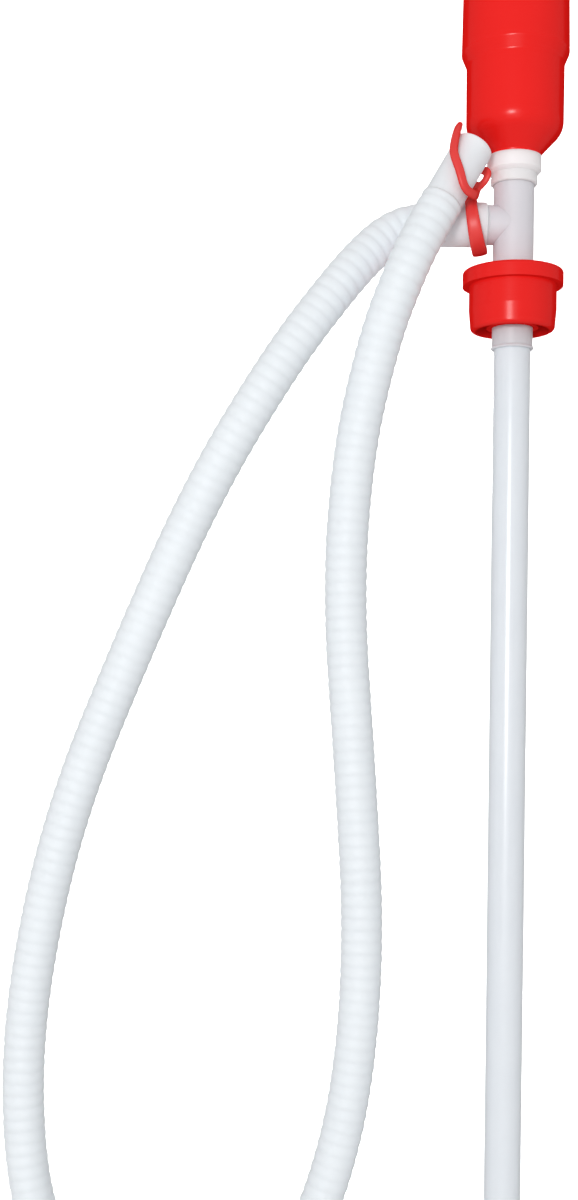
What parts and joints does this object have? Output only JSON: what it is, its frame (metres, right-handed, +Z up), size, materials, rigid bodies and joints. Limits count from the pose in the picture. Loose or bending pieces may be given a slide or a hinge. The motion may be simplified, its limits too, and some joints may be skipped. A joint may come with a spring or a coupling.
{
  "type": "hand siphon pump",
  "caption": "Hand siphon pump: squeeze bulb with vent cap over a valved tee, stopper on a rigid suction tube, and a looped discharge hose parked in a strap.",
  "frame": {"origin": "on the pump's axis, in the plane of the stopper flange's underside, which sits on the rim of the container that holds the pump up", "axes": "+Z up along the pump's axis towards the squeeze bulb; -X along the outlet arm; the parked hose end is on the -Y side"},
  "size_m": [0.2329, 0.0549, 0.679],
  "materials": {
    "red_soft_plastic": "glossy flexible polyethylene",
    "red_hard_plastic": "satin",
    "red_stopper_plastic": "semi-gloss",
    "red_strap_plastic": "satin, flexible",
    "white_plastic": "translucent satin",
    "tube_plastic": "translucent, softly glossy",
    "hose_plastic": "translucent corrugated",
    "valve_plastic": "satin",
    "valve_disc": "satin",
    "seal": "matt"
  },
  "bodies": {
    "stopper": {"drum_stopper": "red_stopper_plastic"},
    "pump": {"pump_bulb": "red_soft_plastic", "bulb_connector": "white_plastic", "tee_body": "white_plastic", "inlet_valve_seat": "valve_plastic", "inlet_valve_cage": "valve_plastic", "outlet_valve_seat": "valve_plastic", "outlet_valve_cage": "valve_plastic", "suction_tube": "tube_plastic", "inlet_strainer": "white_plastic", "outlet_cuff": "hose_plastic", "discharge_hose": "hose_plastic", "free_end_cuff": "hose_plastic", "hose_strap": "red_strap_plastic"},
    "inlet_disc": {"inlet_valve_disc": "valve_disc"},
    "outlet_disc": {"outlet_valve_disc": "valve_disc"},
    "washer": {"vent_washer": "seal"},
    "cap": {"vent_cap": "red_hard_plastic"}
  },
  "joints": [
    {"name": "pump_height", "type": "slide", "parent": "stopper", "child": "pump", "axis": [0, 0, 1], "range_m": [-0.005, 0.007]},
    {"name": "inlet_valve_lift", "type": "slide", "parent": "pump", "child": "inlet_disc", "axis": [0, 0, 1], "range_m": [0, 0.0025]},
    {"name": "outlet_valve_lift", "type": "slide", "parent": "pump", "child": "outlet_disc", "axis": [-1, 0, 0], "range_m": [0, 0.0025]},
    {"name": "vent_lift", "type": "slide", "parent": "pump", "child": "washer", "axis": [0, 0, 1], "range_m": [0, 0.0026]},
    {"name": "vent_turn", "type": "hinge", "parent": "washer", "child": "cap", "pos_m": [0, 0, 0.172], "axis": [0, 0, 1], "range_deg": [0, 360]}
  ],
  "couplings": [
    {"joint": "vent_lift", "follows": "vent_turn", "m_per_rad": 0.00039789}
  ]
}
